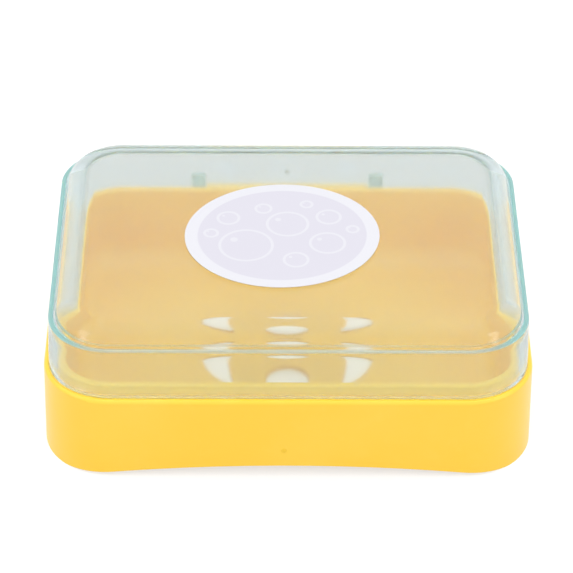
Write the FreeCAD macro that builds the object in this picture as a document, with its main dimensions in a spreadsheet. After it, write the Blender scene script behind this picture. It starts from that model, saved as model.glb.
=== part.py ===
"""Travel soap box: a drained base, a clear hinged lid, the hinge pin and the lid's label.

Millimetres. X runs left to right, Y front to back and Z up from the surface that the box stands on.
"""

import FreeCAD, Part
import math
import os
import Sketcher

# The sizes that a designer sets.
SIZES = {
    # Base: outer skirt, drawn in a little from its foot to its rim, with an arched foot front and back.
    "base_width": 118.0,
    "base_depth": 90.0,
    "corner_radius": 17.0,
    "rim_height": 22.4,
    "skirt_wall": 1.8,
    "skirt_flare": 0.3,
    "rim_wall": 1.8,
    "rim_round": 0.9,
    "arch_inset": 5.4,
    "arch_rise": 3.25,
    # Base: inner dish, whose wall stands up inside the lid as a lip.
    "lip_height": 2.7,
    "lip_round": 0.6,
    "dish_wall": 1.8,
    "dish_taper": 0.6,
    "dish_round": 6.0,
    "floor_height": 3.4,
    "floor_wall": 1.6,
    # Base: drain, two round holes one behind the other between two curved slots.
    "hole_radius": 5.3,
    "hole_offset": 9.9,
    "slot_edge": 21.4,
    "slot_width": 6.5,
    "slot_outer_radius": 14.4,
    "slot_inner_radius": 45.0,
    "slot_reach": 12.0,
    "slot_round": 0.7,
    "drain_round": 0.5,
    # Lid: an upright band, a ledge all round it and a sloped, rounded top.
    "total_height": 40.25,
    "dome_rise": 4.45,
    "dome_draw": 2.55,
    "dome_round": 4.5,
    "rim_inset": 1.1,
    "seat_gap": 0.1,
    "lid_wall": 2.0,
    "lid_top_wall": 1.1,
    "hollow_round": 6.8,
    "lid_taper": 0.45,
    "lid_gap": 0.4,
    "crease_step": 1.0,
    "crease_round": 0.3,
    # Hinge: a barrel on the base between two lugs on the lid.
    "barrel_radius": 2.4,
    "web_slope_degrees": 45.0,
    "hinge_drop": 2.9,
    "hinge_gap": 0.3,
    "lug_spacing": 45.8,
    "lug_width": 3.4,
    "lug_rise": 5.0,
    "lug_shelf": 1.4,
    "lug_gap": 0.25,
    "pin_radius": 1.0,
    "pin_fit": 0.02,
    "pin_clearance": 0.06,
    "pin_recess": 0.2,
    "pin_chamfer": 0.3,
    # Label: an oval sticker on the lid, a little left of and in front of its middle, turned in plan.
    "label_width": 47.6,
    "label_flatness": 0.916,
    "label_thickness": 0.2,
    "label_left": 1.5,
    "label_front": 1.6,
    "label_tilt_degrees": 6.0,
    # How far every cut runs past the material.
    "overrun": 1.0,
}

# The sizes that follow from those, so that the pieces keep fitting one another.
FITTED_SIZES = {
    "rim_width": "base_width - 2 * skirt_flare",
    "rim_depth": "base_depth - 2 * skirt_flare",
    "skirt_draft": "atan(skirt_flare / rim_height)",
    "skirt_hollow_width": "base_width - 2 * skirt_wall",
    "skirt_hollow_depth": "base_depth - 2 * skirt_wall",
    "skirt_hollow_corner": "corner_radius - skirt_wall",
    "arch_span": "base_width - 2 * arch_inset",
    "arch_radius": "(arch_span * arch_span / 4 + arch_rise * arch_rise) / (2 * arch_rise)",
    "arch_start": "base_depth / 2 + overrun",
    "arch_end": "sqrt((corner_radius - skirt_wall)^2 - (corner_radius - arch_inset)^2)",
    "arch_cut": "overrun + corner_radius - arch_end",
    "lid_width": "rim_width - 2 * rim_inset",
    "lid_depth": "rim_depth - 2 * rim_inset",
    "lid_corner": "corner_radius - skirt_flare - rim_inset",
    "crease_height": "total_height - dome_rise",
    "lid_foot": "rim_height + seat_gap",
    "block_rise": "total_height - lid_foot",
    "band_rise": "crease_height - lid_foot",
    "lid_draft": "atan(lid_taper / band_rise)",
    "dome_inset": "lid_taper + crease_step + dome_draw",
    "dome_width": "lid_width - 2 * dome_inset",
    "dome_depth": "lid_depth - 2 * dome_inset",
    "dome_corner": "lid_corner - dome_inset",
    "dome_spread": "-atan(dome_draw / dome_rise)",
    "frame_width": "lid_width + 2 * (dome_draw + overrun)",
    "frame_depth": "lid_depth + 2 * (dome_draw + overrun)",
    "frame_corner": "lid_corner + dome_draw + overrun",
    "hollow_width": "lid_width - 2 * lid_wall",
    "hollow_depth": "lid_depth - 2 * lid_wall",
    "hollow_corner": "lid_corner - lid_wall",
    "hollow_rise": "total_height - lid_top_wall - lid_foot",
    "lip_width": "hollow_width - 2 * lid_gap",
    "lip_depth": "hollow_depth - 2 * lid_gap",
    "lip_corner": "hollow_corner - lid_gap",
    "lip_top": "rim_height + lip_height",
    "dish_width": "lip_width - 2 * dish_wall",
    "dish_depth": "lip_depth - 2 * dish_wall",
    "dish_corner": "lip_corner - dish_wall",
    "dish_drop": "lip_top - floor_height",
    "dish_draft": "atan(dish_taper / dish_drop)",
    "shell_width": "lip_width - 2 * dish_taper",
    "shell_depth": "lip_depth - 2 * dish_taper",
    "shell_corner": "lip_corner - dish_taper",
    "shell_round": "dish_round + dish_wall",
    "floor_under": "floor_height - floor_wall",
    "gap_rise": "rim_height - rim_wall - floor_under",
    "drain_cut": "floor_wall + overrun",
    "slot_outer_centre": "slot_edge - slot_outer_radius",
    "slot_inner_centre": "slot_inner_radius - slot_edge + slot_width",
    "axis_back": "rim_depth / 2 + hinge_gap + barrel_radius",
    "axis_height": "rim_height - hinge_drop",
    "barrel_root": "(rim_depth - skirt_wall) / 2",
    "barrel_length": "lug_spacing - lug_width - 2 * lug_gap",
    "barrel_bore": "pin_radius + pin_fit",
    "barrel_cut": "barrel_length + 2 * overrun",
    "lug_root": "(lid_depth - lid_wall) / 2",
    "lug_start": "(lug_spacing - lug_width) / 2",
    "lug_back": "lid_depth / 2 + lug_shelf",
    "lug_top": "rim_height + lug_rise",
    "lug_foot": "rim_height + hinge_gap",
    "lug_bore": "pin_radius + pin_clearance",
    "lug_cut": "lug_spacing + lug_width + 2 * overrun",
    "pin_length": "lug_spacing + lug_width - 2 * pin_recess",
    "label_depth": "label_width * label_flatness",
    "hinge_reach": "axis_back + barrel_radius - base_depth / 2",
}

UP = FreeCAD.Vector(0, 0, 1)
START, END, CENTRE = range(1, 4)
X_AXIS, Y_AXIS = range(-1, -3, -1)
ORIGIN = (X_AXIS, START)
QUARTER = math.pi / 2

doc = FreeCAD.newDocument("travel_soap_box")


def make_sheet():
    """The table of sizes: a name and a number, or a formula, in each row."""
    table = doc.addObject("Spreadsheet::Sheet", "Sizes")
    rows = [(name, str(number)) for name, number in SIZES.items()]
    rows += [(name, "=" + formula) for name, formula in FITTED_SIZES.items()]
    for row, (name, content) in enumerate(rows, start=1):
        table.set(f"A{row}", name)
        table.set(f"B{row}", content)
        table.setAlias(f"B{row}", name)
    doc.recompute()
    return table


sheet = make_sheet()


def size(name):
    """The number that the sheet holds under a name."""
    return float(sheet.get(name))


def bind(feature, place, name):
    """Ties a property or a sketch dimension to the sheet's value of that name."""
    feature.setExpression(place, f"Sizes.{name}")


def new_body(label):
    """A body centred over the middle of the whole box, hinge included."""
    body = doc.addObject("PartDesign::Body", label)
    body.Label = label
    body.setExpression("Placement.Base.y", "-Sizes.hinge_reach / 2")
    return body


def plane_of(body, role):
    return next(feature for feature in body.Origin.OriginFeatures if feature.Role == role)


def new_sketch(body, name, role, offset=None):
    """A sketch on one of the body's own planes, moved along the plane's normal by a named size."""
    sketch = body.newObject("Sketcher::SketchObject", name)
    sketch.AttachmentSupport = (plane_of(body, role), [""])
    sketch.MapMode = "FlatFace"
    if offset:
        bind(sketch, "AttachmentOffset.Base.z", offset)
    return sketch


def constrain(sketch, kind, *places):
    sketch.addConstraint(Sketcher.Constraint(kind, *places))


def dimension(sketch, kind, places, name, sign=""):
    """A dimension of a sketch that takes the named size, or that size turned the other way."""
    number = -size(name) if sign else size(name)
    index = sketch.addConstraint(Sketcher.Constraint(kind, *places, number))
    label = f"{name}_{index}"
    sketch.renameConstraint(index, label)
    sketch.setExpression(f"Constraints.{label}", f"{sign}Sizes.{name}")


def line(sketch, start, end):
    segment = Part.LineSegment(FreeCAD.Vector(*start, 0), FreeCAD.Vector(*end, 0))
    return sketch.addGeometry(segment)


def arc(sketch, centre, radius, first_angle, last_angle):
    circle = Part.Circle(FreeCAD.Vector(*centre, 0), UP, radius)
    return sketch.addGeometry(Part.ArcOfCircle(circle, first_angle, last_angle))


def rounded_rectangle(sketch, width, depth, corner):
    """Four sides and four equal corner arcs about the sketch's origin, from three named sizes."""
    half_width = size(width) / 2
    half_depth = size(depth) / 2
    radius = size(corner)
    flat_x = half_width - radius
    flat_y = half_depth - radius
    front = line(sketch, (-flat_x, -half_depth), (flat_x, -half_depth))
    right = line(sketch, (half_width, -flat_y), (half_width, flat_y))
    back = line(sketch, (flat_x, half_depth), (-flat_x, half_depth))
    left = line(sketch, (-half_width, flat_y), (-half_width, -flat_y))
    sides = [front, right, back, left]
    centres = [(flat_x, -flat_y), (flat_x, flat_y), (-flat_x, flat_y), (-flat_x, -flat_y)]
    corners = [
        arc(sketch, centre, radius, (turn - 1) * QUARTER, turn * QUARTER)
        for turn, centre in enumerate(centres)
    ]
    for turn, corner_arc in enumerate(corners):
        next_side = sides[(turn + 1) % len(sides)]
        constrain(sketch, "Tangent", sides[turn], END, corner_arc, START)
        constrain(sketch, "Tangent", corner_arc, END, next_side, START)
    for side in (front, back):
        constrain(sketch, "Horizontal", side)
    for side in (right, left):
        constrain(sketch, "Vertical", side)
    for corner_arc in corners[1:]:
        constrain(sketch, "Equal", corners[0], corner_arc)
    constrain(sketch, "Symmetric", corners[0], CENTRE, corners[2], CENTRE, *ORIGIN)
    dimension(sketch, "DistanceX", (left, START, right, START), width)
    dimension(sketch, "DistanceY", (front, START, back, START), depth)
    dimension(sketch, "Radius", (corners[0],), corner)


def circle_at(sketch, radius, across=None, along=None, across_sign="", along_sign=""):
    """A circle of a named radius, at named distances from the sketch's origin."""
    x = size(across) if across else 0.0
    y = size(along) if along else 0.0
    centre = FreeCAD.Vector(-x if across_sign else x, -y if along_sign else y, 0)
    ring = sketch.addGeometry(Part.Circle(centre, UP, size(radius)))
    dimension(sketch, "Radius", (ring,), radius)
    if across:
        dimension(sketch, "DistanceX", (*ORIGIN, ring, CENTRE), across, across_sign)
    else:
        constrain(sketch, "PointOnObject", ring, CENTRE, Y_AXIS)
    if along:
        dimension(sketch, "DistanceY", (*ORIGIN, ring, CENTRE), along, along_sign)
    else:
        constrain(sketch, "PointOnObject", ring, CENTRE, X_AXIS)


def finish_feature(body, feature):
    body.Tip = feature
    doc.recompute()
    return feature


def pad(body, name, sketch, length, draft=None, symmetric=False):
    """Raises a sketch by a named length, drawn in by a named draft angle on the way."""
    feature = body.newObject("PartDesign::Pad", name)
    feature.Profile = sketch
    bind(feature, "Length", length)
    if draft:
        feature.setExpression("TaperAngle", f"-Sizes.{draft}")
    if symmetric:
        feature.SideType = "Symmetric"
    return finish_feature(body, feature)


def pocket(body, name, sketch, depth, draft=None, symmetric=False, upwards=False):
    """Cuts a sketch into the body by a named depth, and makes sure that it removed material."""
    before = body.Shape.Volume
    feature = body.newObject("PartDesign::Pocket", name)
    feature.Profile = sketch
    bind(feature, "Length", depth)
    feature.Reversed = upwards
    if draft:
        feature.setExpression("TaperAngle", f"-Sizes.{draft}")
    if symmetric:
        feature.SideType = "Symmetric"
    finish_feature(body, feature)
    if body.Shape.Volume >= before:
        raise RuntimeError(f"{name} cuts nothing")
    return feature


def mirror(body, name, original, role):
    """Repeats a feature on the other side of one of the body's own planes."""
    feature = body.newObject("PartDesign::Mirrored", name)
    feature.Originals = [original]
    feature.MirrorPlane = (plane_of(body, role), [""])
    return finish_feature(body, feature)


def edge_through(shape, point):
    """The name of the edge that passes nearest to a point of the body's own frame."""
    mark = Part.Vertex(FreeCAD.Vector(*point))
    gaps = [mark.distToShape(edge)[0] for edge in shape.Edges]
    return f"Edge{gaps.index(min(gaps)) + 1}"


def fillet(body, name, points, radius, kind="PartDesign::Fillet", measure="Radius"):
    """Rounds the edges that pass through the points, and those that run on smoothly from them."""
    base = body.Tip
    edges = sorted({edge_through(base.Shape, point) for point in points})
    feature = body.newObject(kind, name)
    feature.Base = (base, edges)
    bind(feature, measure, radius)
    return finish_feature(body, feature)


def front_of(depth, height, inward=0.0):
    """A point in the middle of the front edge of a rounded rectangle of that named depth."""
    return (0.0, inward - size(depth) / 2, height)


def cut_underside(body):
    """Hollows the base from below: a shallow recess, then a gap between the skirt and the dish."""
    recess = new_sketch(body, "recess_outline", "XY_Plane")
    rounded_rectangle(recess, "skirt_hollow_width", "skirt_hollow_depth", "skirt_hollow_corner")
    pocket(body, "recess", recess, "floor_under", upwards=True)
    gap = new_sketch(body, "gap_outline", "XY_Plane", "floor_under")
    rounded_rectangle(gap, "skirt_hollow_width", "skirt_hollow_depth", "skirt_hollow_corner")
    rounded_rectangle(gap, "shell_width", "shell_depth", "shell_corner")
    pocket(body, "gap", gap, "gap_rise", draft="dish_draft", upwards=True)
    fillet(body, "shell_edge", [front_of("shell_depth", size("floor_under"))], "shell_round")


def cut_arches(body):
    """A shallow arch through the foot of the skirt, front and back, that lets water run out."""
    sketch = new_sketch(body, "arch_outline", "XZ_Plane", "arch_start")
    half_span = size("arch_span") / 2
    radius = size("arch_radius")
    half_angle = math.asin(half_span / radius)
    centre = (0.0, size("arch_rise") - radius)
    low = -size("overrun")
    crown = arc(sketch, centre, radius, QUARTER - half_angle, QUARTER + half_angle)
    left = line(sketch, (-half_span, 0.0), (-half_span, low))
    bottom = line(sketch, (-half_span, low), (half_span, low))
    right = line(sketch, (half_span, low), (half_span, 0.0))
    outline = [crown, left, bottom, right]
    for first, second in zip(outline, outline[1:] + outline[:1]):
        constrain(sketch, "Coincident", first, END, second, START)
    constrain(sketch, "PointOnObject", crown, START, X_AXIS)
    constrain(sketch, "PointOnObject", crown, END, X_AXIS)
    constrain(sketch, "PointOnObject", crown, CENTRE, Y_AXIS)
    constrain(sketch, "Vertical", left)
    constrain(sketch, "Vertical", right)
    constrain(sketch, "Horizontal", bottom)
    dimension(sketch, "DistanceX", (crown, END, crown, START), "arch_span")
    dimension(sketch, "Radius", (crown,), "arch_radius")
    dimension(sketch, "DistanceY", (bottom, START, *ORIGIN), "overrun")
    front_arch = pocket(body, "front_arch", sketch, "arch_cut")
    mirror(body, "both_arches", front_arch, "XZ_Plane")


def slot_corner(radius, centre, side):
    """How far out a slot's arc stands at the slot's ends, on the side of the given sign."""
    reach = size("slot_reach")
    return side * (math.sqrt(radius * radius - reach * reach) + centre)


def slot_arc(sketch, radius, centre, side, sign):
    """One long edge of a drain slot: an arc about a point on the X axis, cut off at the slot's ends."""
    reach = size("slot_reach")
    half_angle = math.asin(reach / size(radius))
    towards = 0.0 if side > 0 else math.pi
    middle = -size(centre) if sign else size(centre)
    edge = arc(sketch, (middle, 0.0), size(radius), towards - half_angle, towards + half_angle)
    constrain(sketch, "PointOnObject", edge, CENTRE, X_AXIS)
    dimension(sketch, "Radius", (edge,), radius)
    dimension(sketch, "DistanceX", (*ORIGIN, edge, CENTRE), centre, sign)
    signs = ("-", "") if side > 0 else ("", "-")
    for place, end_sign in zip((START, END), signs):
        dimension(sketch, "DistanceY", (*ORIGIN, edge, place), "slot_reach", end_sign)
    return edge


def curved_slot(sketch, side):
    """One crescent-like drain slot: a round edge outside, a flatter one inside and two short ends."""
    reach = size("slot_reach")
    outward, inward = ("", "-") if side > 0 else ("-", "")
    outer = slot_arc(sketch, "slot_outer_radius", "slot_outer_centre", side, outward)
    inner = slot_arc(sketch, "slot_inner_radius", "slot_inner_centre", side, inward)
    outer_x = slot_corner(size("slot_outer_radius"), size("slot_outer_centre"), side)
    inner_x = slot_corner(size("slot_inner_radius"), -size("slot_inner_centre"), side)
    for place, end_y in ((START, -side * reach), (END, side * reach)):
        end = line(sketch, (outer_x, end_y), (inner_x, end_y))
        constrain(sketch, "Coincident", end, START, outer, place)
        constrain(sketch, "Coincident", end, END, inner, place)


def cut_drain(body):
    """Round holes and curved slots through the dish's floor, with softened ends and edges."""
    sketch = new_sketch(body, "drain_outline", "XY_Plane", "floor_height")
    for sign in ("", "-"):
        circle_at(sketch, "hole_radius", along="hole_offset", along_sign=sign)
    for side in (1, -1):
        curved_slot(sketch, side)
    pocket(body, "drain", sketch, "drain_cut")
    middle = size("floor_height") - size("floor_wall") / 2
    arcs = [
        ("slot_outer_radius", size("slot_outer_centre")),
        ("slot_inner_radius", -size("slot_inner_centre")),
    ]
    ends = [
        (slot_corner(size(radius), centre, side), end * size("slot_reach"), middle)
        for radius, centre in arcs
        for side in (1, -1)
        for end in (1, -1)
    ]
    fillet(body, "slot_ends", ends, "slot_round")
    holes = [(0.0, end * (size("hole_offset") + size("hole_radius"))) for end in (1, -1)]
    slots = [(side * size("slot_edge"), 0.0) for side in (1, -1)]
    edges = [(*place, size("floor_height")) for place in holes + slots]
    fillet(body, "drain_edges", edges, "drain_round")


def add_barrel(body):
    """The base's half of the hinge: a bored barrel on a web that slopes back into the skirt."""
    sketch = new_sketch(body, "barrel_outline", "YZ_Plane")
    root = size("barrel_root")
    back = size("axis_back")
    height = size("axis_height")
    radius = size("barrel_radius")
    slope = math.radians(size("web_slope_degrees"))
    top = height + radius
    turn_y = back + radius * math.sin(slope)
    turn_z = height - radius * math.cos(slope)
    low = turn_z - (turn_y - root) * math.tan(slope)
    wall = line(sketch, (root, low), (root, top))
    shelf = line(sketch, (root, top), (back, top))
    nose = arc(sketch, (back, height), radius, slope - QUARTER, QUARTER)
    web = line(sketch, (turn_y, turn_z), (root, low))
    constrain(sketch, "Coincident", wall, END, shelf, START)
    constrain(sketch, "Coincident", web, END, wall, START)
    constrain(sketch, "Tangent", shelf, END, nose, END)
    constrain(sketch, "Tangent", web, START, nose, START)
    constrain(sketch, "Vertical", wall)
    constrain(sketch, "Horizontal", shelf)
    lean = sketch.addConstraint(Sketcher.Constraint("Angle", shelf, START, web, END, slope))
    sketch.renameConstraint(lean, "web_slope")
    sketch.setExpression("Constraints.web_slope", "Sizes.web_slope_degrees * 1 deg")
    dimension(sketch, "DistanceX", (*ORIGIN, wall, START), "barrel_root")
    dimension(sketch, "DistanceX", (*ORIGIN, nose, CENTRE), "axis_back")
    dimension(sketch, "DistanceY", (*ORIGIN, nose, CENTRE), "axis_height")
    dimension(sketch, "Radius", (nose,), "barrel_radius")
    pad(body, "barrel", sketch, "barrel_length", symmetric=True)
    bore = new_sketch(body, "barrel_bore_outline", "YZ_Plane")
    circle_at(bore, "barrel_bore", across="axis_back", along="axis_height")
    pocket(body, "barrel_bore", bore, "barrel_cut", symmetric=True)


def make_base():
    """One moulding: a skirt, a ledge for the lid, a lipped dish with a drained floor and a barrel."""
    body = new_body("base")
    foot = new_sketch(body, "foot_outline", "XY_Plane")
    rounded_rectangle(foot, "base_width", "base_depth", "corner_radius")
    pad(body, "skirt", foot, "rim_height", draft="skirt_draft")
    fillet(body, "rim_edge", [front_of("rim_depth", size("rim_height"))], "rim_round")
    lip = new_sketch(body, "lip_outline", "XY_Plane", "rim_height")
    rounded_rectangle(lip, "lip_width", "lip_depth", "lip_corner")
    pad(body, "lip", lip, "lip_height")
    dish = new_sketch(body, "dish_outline", "XY_Plane", "lip_top")
    rounded_rectangle(dish, "dish_width", "dish_depth", "dish_corner")
    pocket(body, "dish", dish, "dish_drop", draft="dish_draft")
    floor_edge = front_of("dish_depth", size("floor_height"), inward=size("dish_taper"))
    fillet(body, "floor_edge", [floor_edge], "dish_round")
    lip_edges = [front_of(depth, size("lip_top")) for depth in ("lip_depth", "dish_depth")]
    fillet(body, "lip_edges", lip_edges, "lip_round")
    cut_underside(body)
    cut_arches(body)
    cut_drain(body)
    add_barrel(body)
    return body


def add_lugs(body):
    """The lid's half of the hinge: two bored lugs that hang from its back wall beside the barrel."""
    sketch = new_sketch(body, "lug_outline", "YZ_Plane", "lug_start")
    root = size("lug_root")
    shelf_back = size("lug_back")
    top = size("lug_top")
    foot = size("lug_foot")
    back = size("axis_back")
    height = size("axis_height")
    radius = size("barrel_radius")
    front = back - radius
    run = math.hypot(shelf_back - back, top - height)
    lean = math.atan2(top - height, shelf_back - back) - math.acos(radius / run)
    touch = (back + radius * math.cos(lean), height + radius * math.sin(lean))
    wall = line(sketch, (root, foot), (root, top))
    shelf = line(sketch, (root, top), (shelf_back, top))
    slope = line(sketch, (shelf_back, top), touch)
    nose = arc(sketch, (back, height), radius, -math.pi, lean)
    face = line(sketch, (front, height), (front, foot))
    sole = line(sketch, (front, foot), (root, foot))
    constrain(sketch, "Coincident", wall, END, shelf, START)
    constrain(sketch, "Coincident", shelf, END, slope, START)
    constrain(sketch, "Coincident", face, END, sole, START)
    constrain(sketch, "Coincident", sole, END, wall, START)
    constrain(sketch, "Tangent", slope, END, nose, END)
    constrain(sketch, "Tangent", face, START, nose, START)
    for edge in (wall, face):
        constrain(sketch, "Vertical", edge)
    for edge in (shelf, sole):
        constrain(sketch, "Horizontal", edge)
    dimension(sketch, "DistanceX", (*ORIGIN, wall, START), "lug_root")
    dimension(sketch, "DistanceX", (*ORIGIN, shelf, END), "lug_back")
    dimension(sketch, "DistanceY", (*ORIGIN, shelf, START), "lug_top")
    dimension(sketch, "DistanceY", (*ORIGIN, sole, END), "lug_foot")
    dimension(sketch, "DistanceX", (*ORIGIN, nose, CENTRE), "axis_back")
    dimension(sketch, "DistanceY", (*ORIGIN, nose, CENTRE), "axis_height")
    dimension(sketch, "Radius", (nose,), "barrel_radius")
    right_lug = pad(body, "right_lug", sketch, "lug_width")
    mirror(body, "both_lugs", right_lug, "YZ_Plane")
    bore = new_sketch(body, "lug_bore_outline", "YZ_Plane")
    circle_at(bore, "lug_bore", across="axis_back", along="axis_height")
    pocket(body, "lug_bores", bore, "lug_cut", symmetric=True)


def make_lid():
    """A thin clear cover: a slightly drawn-in band, a ledge, a sloped top and two hinge lugs."""
    body = new_body("lid")
    band = new_sketch(body, "band_outline", "XY_Plane", "lid_foot")
    rounded_rectangle(band, "lid_width", "lid_depth", "lid_corner")
    pad(body, "block", band, "block_rise", draft="lid_draft")
    hollow = new_sketch(body, "hollow_outline", "XY_Plane", "lid_foot")
    rounded_rectangle(hollow, "hollow_width", "hollow_depth", "hollow_corner")
    pocket(body, "hollow", hollow, "hollow_rise", draft="lid_draft", upwards=True)
    ceiling = size("lid_foot") + size("hollow_rise")
    drawn_in = size("lid_taper") * size("hollow_rise") / size("band_rise")
    fillet(body, "hollow_edge", [front_of("hollow_depth", ceiling, drawn_in)], "hollow_round")
    dome = new_sketch(body, "dome_outline", "XY_Plane", "total_height")
    rounded_rectangle(dome, "frame_width", "frame_depth", "frame_corner")
    rounded_rectangle(dome, "dome_width", "dome_depth", "dome_corner")
    pocket(body, "dome", dome, "dome_rise", draft="dome_spread")
    crease = front_of("lid_depth", size("crease_height"), inward=size("lid_taper"))
    fillet(body, "crease_edge", [crease], "crease_round")
    dome_edge = front_of("dome_depth", size("total_height"))
    fillet(body, "dome_edge", [dome_edge], "dome_round")
    add_lugs(body)
    return body


def make_pin():
    """A plain rod, tight in the base's barrel, with the lid's lugs turning on its bevelled ends."""
    body = new_body("hinge_pin")
    sketch = new_sketch(body, "pin_outline", "YZ_Plane")
    circle_at(sketch, "pin_radius", across="axis_back", along="axis_height")
    pad(body, "pin", sketch, "pin_length", symmetric=True)
    rim = size("axis_height") + size("pin_radius")
    ends = [(end * size("pin_length") / 2, size("axis_back"), rim) for end in (1, -1)]
    fillet(body, "pin_ends", ends, "pin_chamfer", kind="PartDesign::Chamfer", measure="Size")
    return body


def make_label():
    """A thin oval sticker that lies on the flat of the lid."""
    body = new_body("lid_label")
    sketch = new_sketch(body, "label_outline", "XY_Plane", "total_height")
    sketch.setExpression("AttachmentOffset.Base.x", "-Sizes.label_left")
    sketch.setExpression("AttachmentOffset.Base.y", "-Sizes.label_front")
    sketch.setExpression("AttachmentOffset.Rotation.Angle", "Sizes.label_tilt_degrees * 1 deg")
    half_width = size("label_width") / 2
    half_depth = size("label_depth") / 2
    oval = sketch.addGeometry(Part.Ellipse(FreeCAD.Vector(0, 0, 0), half_width, half_depth))
    sketch.exposeInternalGeometry(oval)
    long_axis = oval + 1
    short_axis = oval + 2
    constrain(sketch, "Coincident", oval, CENTRE, *ORIGIN)
    constrain(sketch, "Horizontal", long_axis)
    dimension(sketch, "Distance", (long_axis,), "label_width")
    dimension(sketch, "Distance", (short_axis,), "label_depth")
    pad(body, "sticker", sketch, "label_thickness")
    return body


def write(bodies):
    """Writes each sub-part to a file of its own, once the whole document is sound."""
    doc.recompute()
    for feature in doc.Objects:
        if {"Invalid", "Error"} & set(feature.State):
            raise RuntimeError(f"{feature.Label} failed: {feature.State}")
    for body in bodies:
        if body.Shape.isNull() or not body.Shape.isValid():
            raise RuntimeError(f"{body.Label} has no sound shape")
    os.makedirs("parts", exist_ok=True)
    for body in bodies:
        body.Shape.exportStep(f"parts/{body.Label}.step")
        box = body.Shape.BoundBox
        extent = " x ".join(f"{length:.2f}" for length in (box.XLength, box.YLength, box.ZLength))
        print(f"{body.Label}: {len(body.Shape.Solids)} solid, {extent} mm, {body.Shape.Volume:.1f} mm3")


write([make_base(), make_lid(), make_pin(), make_label()])
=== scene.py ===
"""Looks of a drained soap box with a clear hinged lid: finishes, print, marks and stage."""

import math

import bmesh
import bpy
import numpy as np
from bpy.props import FloatProperty, FloatVectorProperty, IntProperty, PointerProperty
from mathutils import Matrix, Vector


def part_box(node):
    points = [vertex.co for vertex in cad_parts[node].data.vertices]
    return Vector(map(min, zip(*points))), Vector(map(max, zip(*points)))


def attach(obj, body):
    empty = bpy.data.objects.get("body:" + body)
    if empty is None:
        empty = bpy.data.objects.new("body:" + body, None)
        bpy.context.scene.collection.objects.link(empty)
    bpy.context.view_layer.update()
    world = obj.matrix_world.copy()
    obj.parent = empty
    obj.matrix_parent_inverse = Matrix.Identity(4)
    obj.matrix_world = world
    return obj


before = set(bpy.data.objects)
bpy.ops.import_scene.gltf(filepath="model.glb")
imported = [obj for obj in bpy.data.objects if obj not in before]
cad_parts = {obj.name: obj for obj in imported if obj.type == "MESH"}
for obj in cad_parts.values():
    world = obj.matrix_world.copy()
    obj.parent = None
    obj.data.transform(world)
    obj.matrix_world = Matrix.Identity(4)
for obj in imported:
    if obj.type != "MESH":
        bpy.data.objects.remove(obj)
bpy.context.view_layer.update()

bl_info = {
    "name": "Soap box looks",
    "version": (1, 0, 0),
    "blender": (4, 5, 0),
    "location": "3D View > Sidebar > Soap box",
    "description": "Finishes, label print, moulding marks and a white stage for a hinged soap box",
    "category": "Object",
}

MM = 0.001
WHITE = (1.0, 1.0, 1.0, 1.0)
PLASTIC_IOR = 1.49

# The label's half sides and the height of its glued side, in millimetres.
LABEL_HALF = (23.8, 21.8)
LABEL_FOOT = 40.25


class Wire:
    """One output of a shader node. Arithmetic on wires and numbers adds Math nodes to the tree."""

    def __init__(self, tree, socket=None):
        self.tree = tree
        self.socket = socket

    def node(self, kind, settings=None, inputs=None, output=0):
        """Adds a node of any kind: its settings first, then the values or wires of its inputs."""
        made = self.tree.nodes.new(kind)
        for name, value in (settings or {}).items():
            setattr(made, name, value)
        for name, value in (inputs or {}).items():
            if isinstance(value, Wire):
                self.tree.links.new(value.socket, made.inputs[name])
            else:
                made.inputs[name].default_value = value
        return Wire(self.tree, made.outputs[output] if len(made.outputs) else None)

    def maths(self, operation, *terms):
        return self.node("ShaderNodeMath", {"operation": operation}, dict(enumerate(terms)))

    def __add__(self, other):
        return self.maths("ADD", self, other)

    def __sub__(self, other):
        return self.maths("SUBTRACT", self, other)

    def __rsub__(self, other):
        return self.maths("SUBTRACT", other, self)

    def __mul__(self, other):
        return self.maths("MULTIPLY", self, other)

    def __truediv__(self, other):
        return self.maths("DIVIDE", self, other)

    def __pow__(self, other):
        return self.maths("POWER", self, other)

    def __abs__(self):
        return self.maths("ABSOLUTE", self)

    __radd__ = __add__
    __rmul__ = __mul__

    def rise(self, low, high):
        """A smooth step from 0 at low to 1 at high, where high may be the lower of the two."""
        return self.node(
            "ShaderNodeMapRange",
            {"interpolation_type": "SMOOTHSTEP"},
            {"Value": self, "From Min": low, "From Max": high, "To Min": 0.0, "To Max": 1.0},
        )

    def larger(self, other):
        return self.maths("MAXIMUM", self, other)

    def blend(self, first, second):
        """The first colour where this wire is 0, and the second where it is 1."""
        return self.node("ShaderNodeMix", {"data_type": "RGBA"}, {0: self, 6: first, 7: second}, 2)


def opaque(colour):
    return (*colour, 1.0)


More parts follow.
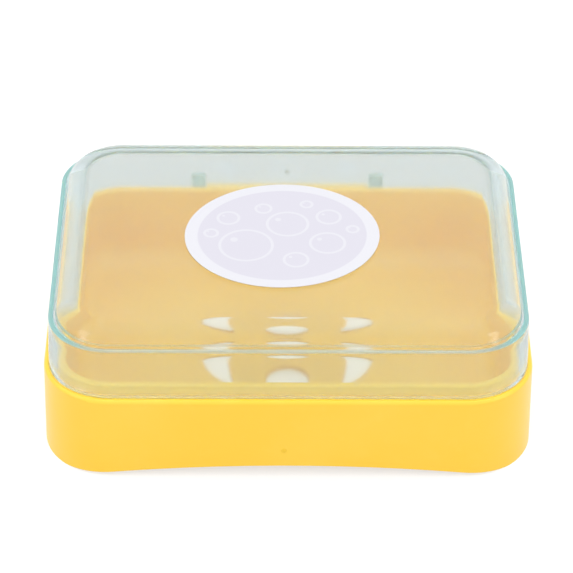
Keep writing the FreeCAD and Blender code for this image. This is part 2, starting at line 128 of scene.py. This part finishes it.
class Finish:
    """A new material with its coordinates, and the nodes that most materials share."""

    def __init__(self, name):
        self.material = bpy.data.materials.new(name)
        self.material.use_nodes = True
        self.tree = self.material.node_tree
        self.tree.nodes.clear()
        self.sheet = Wire(self.tree)
        self.place = self.sheet.node("ShaderNodeTexCoord", None, None, "Object")

    def axes(self, place=None):
        """The three coordinates of a place, in millimetres."""
        source = place or self.place
        large = self.sheet.node(
            "ShaderNodeVectorMath", {"operation": "SCALE"}, {0: source, "Scale": 1 / MM}
        )
        parts = self.tree.nodes.new("ShaderNodeSeparateXYZ")
        self.tree.links.new(large.socket, parts.inputs[0])
        return [Wire(self.tree, socket) for socket in parts.outputs]

    def noise(self, scale, detail):
        """Noise between 0 and 1 over the piece, with its scale per metre."""
        inputs = {"Vector": self.place, "Scale": scale, "Detail": detail}
        return self.sheet.node("ShaderNodeTexNoise", None, inputs, "Fac")

    def bump(self, height, distance):
        inputs = {"Height": height, "Distance": distance, "Strength": 1.0}
        return self.sheet.node("ShaderNodeBump", None, inputs)

    def surface(self, inputs):
        """Ends the material with one Principled shader."""
        shader = self.sheet.node("ShaderNodeBsdfPrincipled", None, inputs)
        self.sheet.node("ShaderNodeOutputMaterial", None, {"Surface": shader})
        return self.material


def dress(piece, material):
    """Gives a piece one material, in the slot that it already has or in a new one."""
    if piece.data.materials:
        for index in range(len(piece.data.materials)):
            piece.data.materials[index] = material
    else:
        piece.data.materials.append(material)


# Moulding marks: place, direction, radius and height, in millimetres.
BASE_GATE = {
    "place": (-1.0, -47.29, 7.8), "normal": (0.0, -1.0, 0.0134), "radius": 0.7, "proud": 0.07,
}
LID_GATE = {
    "place": (0.0, 40.99, 28.6), "normal": (0.0, 1.0, 0.034), "radius": 0.6, "proud": 0.2,
}

# A mark's innermost ring and the sink of its underside, as shares of its radius and its height.
MARK_START = 0.15
MARK_SINK = 0.5

# Its rings, and the points on each.
MARK_RINGS = 7
MARK_POINTS = 24

# Points of a pole that lie nearer than this, in metres, become one.
POLE_REACH = 0.000002


def gate_mark(name, place, normal, radius, proud, body, slot, material):
    """A tiny cap of plastic whose height falls as 1 - r^2 to its edge, closed underneath.

    Rows run from the cap's middle to its edge and back along its underside, and columns run
    round it. The normal may not lie along the X axis.
    """
    out = np.array([0.0, *np.linspace(MARK_START, 1.0, MARK_RINGS), 0.0])[:, None]
    lift = np.append(1.0 - out[:-1] ** 2, [[-MARK_SINK]], axis=0)
    turn = np.linspace(0.0, 2.0 * np.pi, MARK_POINTS, endpoint=False)[None, :]
    normal = np.array(normal) / np.linalg.norm(normal)
    side = np.cross(normal, (1.0, 0.0, 0.0))
    side = side / np.linalg.norm(side)
    other = np.cross(normal, side)
    flat = radius * out
    points = (
        np.array(place)
        + (flat * np.cos(turn))[..., None] * side
        + (flat * np.sin(turn))[..., None] * other
        + (proud * lift * np.ones_like(turn))[..., None] * normal
    )
    grid_piece(name, points * MM, body, material)


def close_mesh(mesh):
    """Merges the points of each pole, where faces shrink, and turns all faces outward."""
    work = bmesh.new()
    work.from_mesh(mesh)
    bmesh.ops.remove_doubles(work, verts=work.verts, dist=POLE_REACH)
    bmesh.ops.recalc_face_normals(work, faces=work.faces)
    for face in work.faces:
        face.smooth = True
    work.to_mesh(mesh)
    work.free()


def grid_piece(name, points, body, material):
    """A mesh from a closed ring grid of points: rows along the profile, columns round it."""
    rows, columns = points.shape[:2]
    index = np.arange(rows * columns).reshape(rows, columns)
    ahead = np.roll(index, -1, axis=1)
    faces = np.stack([index[:-1], ahead[:-1], ahead[1:], index[1:]], axis=-1).reshape(-1, 4)
    mesh = bpy.data.meshes.new(name)
    mesh.from_pydata(points.reshape(-1, 3), [], faces.tolist())
    close_mesh(mesh)
    piece = bpy.data.objects.new(name, mesh)
    bpy.context.scene.collection.objects.link(piece)
    dress(piece, material)
    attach(piece, body)


class BaseSettings(bpy.types.PropertyGroup):
    """Colour and surface of the yellow moulding."""

    colour: FloatVectorProperty(
        name="Colour", description="Colour of the base plastic", subtype="COLOR",
        size=3, min=0.0, max=1.0, default=(0.96, 0.600, 0.034),
    )
    worn_colour: FloatVectorProperty(
        name="Paler colour", description="Colour where the moulding is thin or rubbed",
        subtype="COLOR", size=3, min=0.0, max=1.0, default=(0.98, 0.65, 0.08),
    )
    roughness: FloatProperty(
        name="Roughness", description="Mean roughness of the base plastic", subtype="FACTOR",
        min=0.0, max=1.0, default=0.34,
    )


class LidSettings(bpy.types.PropertyGroup):
    """Tint and haze of the clear moulding, and the painted aqua glow of its ledge and lugs."""

    tint: FloatVectorProperty(
        name="Tint", description="Colour of the clear plastic's surface", subtype="COLOR",
        size=3, min=0.0, max=1.0, default=(0.95, 0.98, 1.0),
    )
    # Painted aqua on the ledge's clear surface, standing in for light carried along the clear wall.
    painted_edge_aqua: FloatVectorProperty(
        name="Edge tint", description="Colour of the ledge's clear surface", subtype="COLOR",
        size=3, min=0.0, max=1.0, default=(0.45, 0.80, 0.82),
    )
    depth_tint: FloatVectorProperty(
        name="Depth tint", description="Colour that the plastic takes on where one looks along it",
        subtype="COLOR", size=3, min=0.0, max=1.0, default=(0.05, 0.82, 0.93),
    )
    # Painted glow: aqua colour on the ledge that stands in for light carried along the clear wall.
    painted_ledge_glow: FloatVectorProperty(
        name="Glow tint", description="Aqua that the ledge shows", subtype="COLOR",
        size=3, min=0.0, max=1.0, default=(0.28, 0.57, 0.585),
    )
    # Painted glow: pale aqua on the hinge lugs that stands in for light passing through their thick
    # plastic.
    painted_lug_glow: FloatVectorProperty(
        name="Lug tint", description="Pale aqua of the hinge lugs", subtype="COLOR",
        size=3, min=0.0, max=1.0, default=(0.62, 0.84, 0.88),
    )
    ledge_height: FloatProperty(
        name="Ledge height", description="Height of the ledge round the lid",
        unit="LENGTH", default=0.0358,
    )
    depth_strength: FloatProperty(
        name="Depth strength", description="How fast the depth tint builds up, per metre",
        min=0.0, default=26.0,
    )
    scatter_strength: FloatProperty(
        name="Scatter strength",
        description="How much light the plastic scatters inside, per metre",
        min=0.0, default=42.0,
    )
    haze: FloatProperty(
        name="Haze", description="Roughness that blurs what lies behind the lid", subtype="FACTOR",
        min=0.0, max=1.0, default=0.08,
    )


class LabelSettings(bpy.types.PropertyGroup):
    """Inks of the sticker."""

    border: FloatVectorProperty(
        name="Border", description="White of the border and the bubbles", subtype="COLOR",
        size=3, min=0.0, max=1.0, default=(0.632, 0.632, 0.676),
    )
    field: FloatVectorProperty(
        name="Field", description="Pale colour inside the border", subtype="COLOR",
        size=3, min=0.0, max=1.0, default=(0.570, 0.558, 0.626),
    )
    backing: FloatVectorProperty(
        name="Backing", description="Colour of the glued side, seen through the lid",
        subtype="COLOR", size=3, min=0.0, max=1.0, default=(0.80, 0.79, 0.83),
    )
    tilt: FloatProperty(
        name="Tilt", description="Turn of the sticker on the lid", subtype="ANGLE",
        default=math.radians(6.0),
    )


class StageSettings(bpy.types.PropertyGroup):
    """Camera and light of the white stage."""

    aim: FloatVectorProperty(
        name="Aim", description="Point that the camera looks at", subtype="TRANSLATION",
        unit="LENGTH", size=3, default=(-0.00034, -0.0024, 0.02363),
    )
    distance: FloatProperty(
        name="Distance", description="From the camera to that point",
        unit="LENGTH", default=0.72828,
    )
    elevation: FloatProperty(
        name="Elevation", description="Camera angle above the table", subtype="ANGLE",
        default=math.radians(36.01),
    )
    turn: FloatProperty(
        name="Turn", description="Camera angle round the box, to the right", subtype="ANGLE",
        default=math.radians(-0.48),
    )
    roll: FloatProperty(
        name="Roll", description="Turn of the camera about its own line of sight", subtype="ANGLE",
        default=math.radians(0.45),
    )
    focal_pixels: FloatProperty(
        name="Focal length", description="Focal length in pixels of the square image",
        default=2938.8,
    )
    horizon_light: FloatProperty(
        name="Horizon light", description="Strength of the light from the horizon",
        min=0.0, default=0.79,
    )
    zenith_light: FloatProperty(
        name="Zenith light", description="Strength of the light from above",
        min=0.0, default=1.60,
    )
    table_lift: FloatProperty(
        name="Table lift", description="Extra white of the table where it is seen",
        min=0.0, default=0.44,
    )
    table_glow: FloatProperty(
        name="Table glow", description="Light that comes up through the table",
        min=0.0, default=0.19,
    )
    drain_glow: FloatProperty(
        name="Drain glow", description="Light on the table under the box",
        min=0.0, default=0.42,
    )
    bounces: IntProperty(
        name="Bounces", description="How often light may turn inside the clear plastic",
        min=4, default=48,
    )


# Noises of the materials: scale per metre and detail.
BASE_GRAIN = (2600.0, 2.0)
BASE_CLOUD = (38.0, 3.0)
BASE_RUBBED = (210.0, 4.0)
LID_CLOUD = (55.0, 3.0)
LID_SCUFF = (700.0, 4.0)
GATE_GRAIN = (3000.0, 3.0)
PIN_CLOUD = (900.0, 3.0)
FILM_WAVES = (120.0, 2.0)
TABLE_GRAIN = (400.0, 2.0)

# Heights of their relief, in metres.
BASE_RELIEF = 0.00002
LID_RELIEF = 0.000006
GATE_RELIEF = 0.00003
PIN_RELIEF = 0.00003
FILM_RELIEF = 0.00004

# Steps that turn a noise into patches, and how much paler clouds and rubbed patches are.
CLOUD_STEP = (0.35, 0.75)
RUBBED_STEP = (0.55, 0.75)
SCUFF_STEP = (0.62, 0.8)
CLOUD_PALER = 0.35
RUBBED_PALER = 0.15


def base_plastic(look):
    """Opaque glossy plastic with a fine moulded grain, faint clouds and rubbed patches."""
    finish = Finish("base_plastic")
    grain = finish.noise(*BASE_GRAIN)
    cloud = finish.noise(*BASE_CLOUD)
    rubbed = finish.noise(*BASE_RUBBED).rise(*RUBBED_STEP)
    paler = CLOUD_PALER * cloud.rise(*CLOUD_STEP) + RUBBED_PALER * rubbed
    return finish.surface({
        "Base Color": paler.blend(opaque(look.colour), opaque(look.worn_colour)),
        "Roughness": look.roughness + 0.05 * cloud + 0.06 * rubbed,
        "IOR": PLASTIC_IOR,
        "Coat Weight": 0.25,
        "Coat Roughness": 0.2,
        "Normal": finish.bump(grain, BASE_RELIEF),
    })


def label_axes(finish, label):
    """Places across and along the label from its middle, and above the table, in millimetres."""
    low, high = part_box("lid_label")
    middle = (low + high) / 2
    centred = finish.sheet.node("ShaderNodeMapping", None, {
        "Vector": finish.place, "Location": (-middle.x, -middle.y, 0.0),
    })
    turned = finish.sheet.node("ShaderNodeMapping", None, {
        "Vector": centred, "Rotation": (0.0, 0.0, -label.tilt),
    })
    return finish.axes(turned)


def label_reach(u, v):
    """0 in the label's middle and 1 on its oval edge."""
    return ((u / LABEL_HALF[0]) ** 2.0 + (v / LABEL_HALF[1]) ** 2.0) ** 0.5


# Masks of the lid, each from where it starts to where it is full, in millimetres.
LEDGE_EDGE = (0.45, 0.15)
FLANK_SIDE = (46.0, 56.0)
LUG_PLACE = 22.9
LUG_SIDE = (2.1, 1.8)
LUG_FRONT = (40.4, 40.9)
LUG_TOP = (28.3, 27.8)
LID_TOP = (LABEL_FOOT - 0.2, LABEL_FOOT - 0.1)

# The same for the glued oval, as a share of the label's reach.
GLUED_EDGE = (1.0, 0.985)

# Painted aqua glow, standing in for light carried along the clear walls: how much shows on the
# whole ledge, more of it on the ledge's flanks, and on the lugs.
PAINTED_LEDGE_GLOW = 0.06
PAINTED_FLANK_GLOW = 0.56
PAINTED_LUG_GLOW = 0.15


def lid_inside(finish, look):
    """What fills the clear plastic: an aqua that builds up along the way, and a little milk."""
    depth = finish.sheet.node("ShaderNodeVolumeAbsorption", None, {
        "Color": opaque(look.depth_tint), "Density": look.depth_strength,
    })
    milk = finish.sheet.node("ShaderNodeVolumeScatter", None, {
        "Color": opaque(look.tint), "Density": look.scatter_strength, "Anisotropy": 0.2,
    })
    return finish.sheet.node("ShaderNodeAddShader", None, {0: depth, 1: milk})


def lid_plastic(look, label):
    """Clear plastic with a faint haze and scuffs, and a painted aqua glow on its ledge and lugs.

    Its surface is left out under the label, because the label's glued side lies in the same plane.
    """
    finish = Finish("lid_plastic")
    x, y, z = finish.axes()
    u, v, _ = label_axes(finish, label)
    cloud = finish.noise(*LID_CLOUD)
    scuff = finish.noise(*LID_SCUFF).rise(*SCUFF_STEP)
    ledge = abs(z - look.ledge_height / MM).rise(*LEDGE_EDGE)
    flank = abs(x).rise(*FLANK_SIDE)
    lug = y.rise(*LUG_FRONT) * abs(abs(x) - LUG_PLACE).rise(*LUG_SIDE) * z.rise(*LUG_TOP)
    glued = label_reach(u, v).rise(*GLUED_EDGE) * z.rise(*LID_TOP)
    # Painted aqua glow: colour on the ledge, more on its flanks, and on the lugs, standing in for
    # light carried along the clear plastic.
    painted_aqua = ledge * (PAINTED_LEDGE_GLOW + PAINTED_FLANK_GLOW * flank) + PAINTED_LUG_GLOW * lug
    clear = finish.sheet.node("ShaderNodeBsdfPrincipled", None, {
        "Base Color": painted_aqua.blend(opaque(look.tint), opaque(look.painted_edge_aqua)),
        "Roughness": look.haze + 0.03 * cloud + 0.04 * scuff + 0.35 * lug + 0.2 * ledge,
        "IOR": PLASTIC_IOR,
        "Transmission Weight": 0.945,
        "Alpha": 1.0 - glued,
        "Normal": finish.bump(cloud, LID_RELIEF),
    })
    # A diffuse shader that paints the aqua glow where the painted mask is high.
    glow = finish.sheet.node("ShaderNodeBsdfPrincipled", None, {
        "Base Color": lug.blend(opaque(look.painted_ledge_glow), opaque(look.painted_lug_glow)),
        "Roughness": 0.3,
        "IOR": PLASTIC_IOR,
    })
    both = finish.sheet.node("ShaderNodeMixShader", None, {0: painted_aqua, 1: clear, 2: glow})
    finish.sheet.node("ShaderNodeOutputMaterial", None, {
        "Surface": both, "Volume": lid_inside(finish, look),
    })
    return finish.material


# The darker colour of a broken edge, as a share of the base's colour.
GATE_SHADE = 0.84


def gate_plastic(look):
    """The base's plastic where it was broken from its runner: a little browner and rougher."""
    finish = Finish("base_gate")
    grain = finish.noise(*GATE_GRAIN)
    dark = tuple(GATE_SHADE * part for part in look.colour)
    return finish.surface({
        "Base Color": grain.blend(opaque(dark), opaque(look.colour)),
        "Roughness": 0.5 + 0.2 * grain,
        "Normal": finish.bump(grain, GATE_RELIEF),
    })


# The pin's paler and darker white.
PIN_PALE = (0.80, 0.82, 0.80)
PIN_DARK = (0.70, 0.73, 0.71)


def pin_plastic():
    """Natural white plastic with faint clouds."""
    finish = Finish("pin_plastic")
    cloud = finish.noise(*PIN_CLOUD)
    return finish.surface({
        "Base Color": cloud.blend(opaque(PIN_PALE), opaque(PIN_DARK)),
        "Roughness": 0.4 + 0.15 * cloud,
        "Normal": finish.bump(cloud, PIN_RELIEF),
    })


# The print's bubbles: place across and along the label, and radius, in millimetres.
BUBBLES = [
    (-9.2, -3.6, 6.4), (1.8, 4.4, 5.0), (10.6, -4.6, 4.2), (-12.4, 8.4, 2.6), (12.2, 6.4, 2.9),
    (2.2, -10.8, 2.9), (-3.4, 11.6, 1.9), (-17.2, 2.4, 1.6), (17.4, 0.6, 1.4), (7.4, 12.4, 1.4),
]

# The half width of a bubble's line in millimetres, from bare film to full ink.
RING_EDGE = (0.42, 0.28)

# A bubble's glint as shares of its radius: how far off the middle, and from bare film to full ink.
GLINT_SHIFT = 0.42
GLINT_BARE, GLINT_FULL = 0.17, 0.12

# The pale field's edge as a share of the label's reach, and how strongly bubbles are printed on it.
FIELD_EDGE = (0.875, 0.86)
BUBBLE_INK = 0.75

# The height from which the film shows, down to the one where its glued side is left out.
FILM_BACK = (LABEL_FOOT + 0.1, LABEL_FOOT + 0.05)


def from_point(u, v, across, along):
    """The distance from a point of the label, in millimetres."""
    return ((u - across) ** 2.0 + (v - along) ** 2.0) ** 0.5


def bubble_print(u, v):
    """A ring for each bubble and a round glint inside it: 1 on the ink and 0 off it."""
    ink = 0.0
    for across, along, radius in BUBBLES:
        ring = abs(from_point(u, v, across, along) - radius).rise(*RING_EDGE)
        shift = GLINT_SHIFT * radius
        glint = from_point(u, v, across - shift, along + shift)
        ink = (ring + glint.rise(GLINT_BARE * radius, GLINT_FULL * radius)).larger(ink)
    return ink


def label_film(look):
    """Printed film with fine waves: a white border round a pale field with bubbles.

    Its glued side is left out, so that the printed side shows its plain back through the lid.
    """
    finish = Finish("label_film")
    u, v, z = label_axes(finish, look)
    field = label_reach(u, v).rise(*FIELD_EDGE)
    glued = z.rise(*FILM_BACK)
    waves = finish.noise(*FILM_WAVES)
    ink = field * (1.0 - BUBBLE_INK * bubble_print(u, v))
    front = ink.blend(opaque(look.border), opaque(look.field))
    behind = finish.sheet.node("ShaderNodeNewGeometry", None, None, "Backfacing")
    return finish.surface({
        "Base Color": behind.blend(front, opaque(look.backing)),
        "Alpha": 1.0 - glued,
        "Roughness": 0.38 + 0.1 * waves,
        "Normal": finish.bump(waves, FILM_RELIEF),
    })


class SOAPBOX_OT_base(bpy.types.Operator):
    """Gives the base its yellow plastic and its moulding mark"""

    bl_idname = "soapbox.base"
    bl_label = "Base"

    def execute(self, context):
        look = context.scene.soap_base
        dress(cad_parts["base"], base_plastic(look))
        gate_mark(
            "base_gate_mark", **BASE_GATE, body="base", slot="base_plastic",
            material=gate_plastic(look),
        )
        return {"FINISHED"}


class SOAPBOX_OT_lid(bpy.types.Operator):
    """Gives the lid its clear plastic and its moulding mark"""

    bl_idname = "soapbox.lid"
    bl_label = "Lid"

    def execute(self, context):
        plastic = lid_plastic(context.scene.soap_lid, context.scene.soap_label)
        dress(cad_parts["lid"], plastic)
        gate_mark("lid_gate_mark", **LID_GATE, body="lid", slot="lid_plastic", material=plastic)
        return {"FINISHED"}


class SOAPBOX_OT_hinge_pin(bpy.types.Operator):
    """Gives the hinge pin its natural plastic"""

    bl_idname = "soapbox.hinge_pin"
    bl_label = "Hinge pin"

    def execute(self, context):
        dress(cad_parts["hinge_pin"], pin_plastic())
        return {"FINISHED"}


class SOAPBOX_OT_label(bpy.types.Operator):
    """Prints the label"""

    bl_idname = "soapbox.label"
    bl_label = "Label"

    def execute(self, context):
        dress(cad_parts["lid_label"], label_film(context.scene.soap_label))
        return {"FINISHED"}


# The photo's side in pixels, and the camera's sensor in millimetres.
IMAGE_SIDE = 573
SENSOR_WIDTH = 36.0

# The nearest and the farthest that the camera sees, in metres.
CAMERA_CLIP = (0.05, 20.0)

# How often light may turn on the milk inside the plastic.
MILK_BOUNCES = 2

# The table's half side, the right lamp's place and each lamp's sides in metres, and its watts.
FLOOR_HALF = 3.0
LAMP_PLACE = (0.9, -0.55, 0.55)
LAMP_SIZE = (0.35, 0.5)
LAMP_POWER = 1.6

# The table's two greys, its warm light under the box, and how much shows through plastic elsewhere.
TABLE_DARK = (0.39, 0.39, 0.39)
TABLE_PALE = (0.41, 0.41, 0.41)
WARM_WHITE = (1.0, 0.90, 0.71, 1.0)
THROUGH_GLOW = 0.04

# The warm patch in millimetres: its middle along Y, and its half sides from no light to full light.
PATCH_MIDDLE = -2.4
PATCH_ACROSS = (52.0, 30.0)
PATCH_ALONG = (40.0, 20.0)


def ray_kinds(sheet, *kinds):
    """What the light path says of a ray, one wire for each kind asked for."""
    rays = sheet.tree.nodes.new("ShaderNodeLightPath")
    return [Wire(sheet.tree, rays.outputs[kind]) for kind in kinds]


def mirror_ray(sheet):
    """1 for rays from the camera or from a mirror, and 0 for those that plastic bent."""
    camera, glossy, bent = ray_kinds(sheet, "Is Camera Ray", "Is Glossy Ray", "Is Transmission Ray")
    return camera.larger(glossy * (1.0 - bent))


def seen_directly(sheet):
    """1 for rays from the camera, a mirror or clear plastic, and 0 for those that only light."""
    camera, glossy, bent, scattered = ray_kinds(
        sheet, "Is Camera Ray", "Is Glossy Ray", "Is Transmission Ray", "Diffuse Depth"
    )
    return camera.larger(glossy).larger(bent) * scattered.maths("LESS_THAN", scattered, 0.5)


def white_world(look):
    """Soft light that grows towards the zenith, and plain white for what looks straight at it."""
    world = bpy.data.worlds.new("white_room")
    world.use_nodes = True
    world.node_tree.nodes.clear()
    sheet = Wire(world.node_tree)
    ray = sheet.node("ShaderNodeTexCoord", None, None, "Generated")
    height = sheet.node("ShaderNodeSeparateXYZ", None, {0: ray}, "Z")
    light = look.horizon_light + (look.zenith_light - look.horizon_light) * height.larger(0.0)
    seen = seen_directly(sheet)
    level = seen + (1.0 - seen) * light
    sky = sheet.node("ShaderNodeBackground", None, {"Color": WHITE, "Strength": level})
    sheet.node("ShaderNodeOutputWorld", None, {"Surface": sky})
    bpy.context.scene.world = world


def clear_paths(bounces):
    """Lets light go on through the lid's thin walls, where it turns many times along an edge."""
    paths = bpy.context.scene.cycles
    paths.max_bounces = paths.transmission_bounces = paths.glossy_bounces = bounces
    paths.volume_bounces = MILK_BOUNCES
    paths.blur_glossy = 0.0


def soft_lamp(name, side):
    """A large lamp turned to the box from one side of it: -1 for the left, 1 for the right."""
    x, y, z = LAMP_PLACE
    place = Vector((side * x, y, z))
    lamp = bpy.data.lights.new(name, "AREA")
    lamp.shape = "RECTANGLE"
    lamp.size, lamp.size_y = LAMP_SIZE
    lamp.energy = LAMP_POWER
    holder = bpy.data.objects.new(name, lamp)
    holder.location = place
    holder.rotation_mode = "QUATERNION"
    holder.rotation_quaternion = (-place).to_track_quat("-Z", "Y")
    bpy.context.scene.collection.objects.link(holder)


def white_floor(look):
    """A large pale table, lifted to white where it is seen, with a warm light under the box."""
    mesh = bpy.data.meshes.new("floor")
    corners = np.array([(-1, -1, 0), (1, -1, 0), (1, 1, 0), (-1, 1, 0)], float) * FLOOR_HALF
    mesh.from_pydata(corners.tolist(), [], [(0, 1, 2, 3)])
    floor = bpy.data.objects.new("floor", mesh)
    bpy.context.scene.collection.objects.link(floor)
    finish = Finish("white_table")
    x, y, _ = finish.axes()
    grain = finish.noise(*TABLE_GRAIN)
    mirrored, seen = mirror_ray(finish.sheet), seen_directly(finish.sheet)
    under = abs(x).rise(*PATCH_ACROSS) * abs(y - PATCH_MIDDLE).rise(*PATCH_ALONG)
    through = (1.0 - mirrored) * seen * (THROUGH_GLOW + look.drain_glow * under)
    glow = look.table_glow + mirrored * seen * look.table_lift + through
    paint = finish.sheet.node("ShaderNodeBsdfDiffuse", None, {
        "Color": grain.blend(opaque(TABLE_DARK), opaque(TABLE_PALE)),
    })
    warm = under.blend(WHITE, WARM_WHITE)
    lift = finish.sheet.node("ShaderNodeEmission", None, {"Color": warm, "Strength": glow})
    both = finish.sheet.node("ShaderNodeAddShader", None, {0: paint, 1: lift})
    finish.sheet.node("ShaderNodeOutputMaterial", None, {"Surface": both})
    dress(floor, finish.material)


def photo_camera(look):
    """A long lens that looks down on the front of the box."""
    lens = bpy.data.cameras.new("camera")
    lens.sensor_width = SENSOR_WIDTH
    lens.lens = look.focal_pixels / IMAGE_SIDE * SENSOR_WIDTH
    lens.clip_start, lens.clip_end = CAMERA_CLIP
    camera = bpy.data.objects.new("camera", lens)
    bpy.context.scene.collection.objects.link(camera)
    level = math.cos(look.elevation)
    back = Vector((
        math.sin(look.turn) * level, -math.cos(look.turn) * level, math.sin(look.elevation)
    ))
    right = (-back).cross(Vector((0, 0, 1))).normalized()
    above = right.cross(-back)
    side = math.cos(look.roll) * right + math.sin(look.roll) * above
    top = math.cos(look.roll) * above - math.sin(look.roll) * right
    turn = Matrix((side, top, back)).transposed().to_4x4()
    camera.matrix_world = Matrix.Translation(Vector(look.aim) + back * look.distance) @ turn
    bpy.context.scene.camera = camera


class SOAPBOX_OT_stage(bpy.types.Operator):
    """Sets up the white table, the light and the camera"""

    bl_idname = "soapbox.stage"
    bl_label = "Stage"

    def execute(self, context):
        look = context.scene.soap_stage
        context.scene.view_settings.view_transform = "Standard"
        clear_paths(look.bounces)
        white_world(look)
        white_floor(look)
        soft_lamp("left_lamp", -1.0)
        soft_lamp("right_lamp", 1.0)
        photo_camera(look)
        return {"FINISHED"}


class SOAPBOX_PT_panel(bpy.types.Panel):
    """All settings, and a button for each operator"""

    bl_idname = "SOAPBOX_PT_panel"
    bl_label = "Soap box"
    bl_space_type = "VIEW_3D"
    bl_region_type = "UI"
    bl_category = "Soap box"

    def draw(self, context):
        for name, group in GROUPS.items():
            box = self.layout.box()
            for value in group.__annotations__:
                box.prop(getattr(context.scene, name), value)
        for operator in OPERATORS:
            self.layout.operator(operator.bl_idname)


GROUPS = {
    "soap_base": BaseSettings,
    "soap_lid": LidSettings,
    "soap_label": LabelSettings,
    "soap_stage": StageSettings,
}
OPERATORS = [
    SOAPBOX_OT_base, SOAPBOX_OT_lid, SOAPBOX_OT_hinge_pin, SOAPBOX_OT_label, SOAPBOX_OT_stage,
]
CLASSES = [*GROUPS.values(), *OPERATORS, SOAPBOX_PT_panel]


def register():
    for entry in CLASSES:
        bpy.utils.register_class(entry)
    for name, group in GROUPS.items():
        setattr(bpy.types.Scene, name, PointerProperty(type=group))


def unregister():
    for name in GROUPS:
        delattr(bpy.types.Scene, name)
    for entry in reversed(CLASSES):
        bpy.utils.unregister_class(entry)


def main():
    register()
    bpy.ops.soapbox.base()
    bpy.ops.soapbox.lid()
    bpy.ops.soapbox.hinge_pin()
    bpy.ops.soapbox.label()
    bpy.ops.soapbox.stage()


if __name__ == "__main__":
    main()
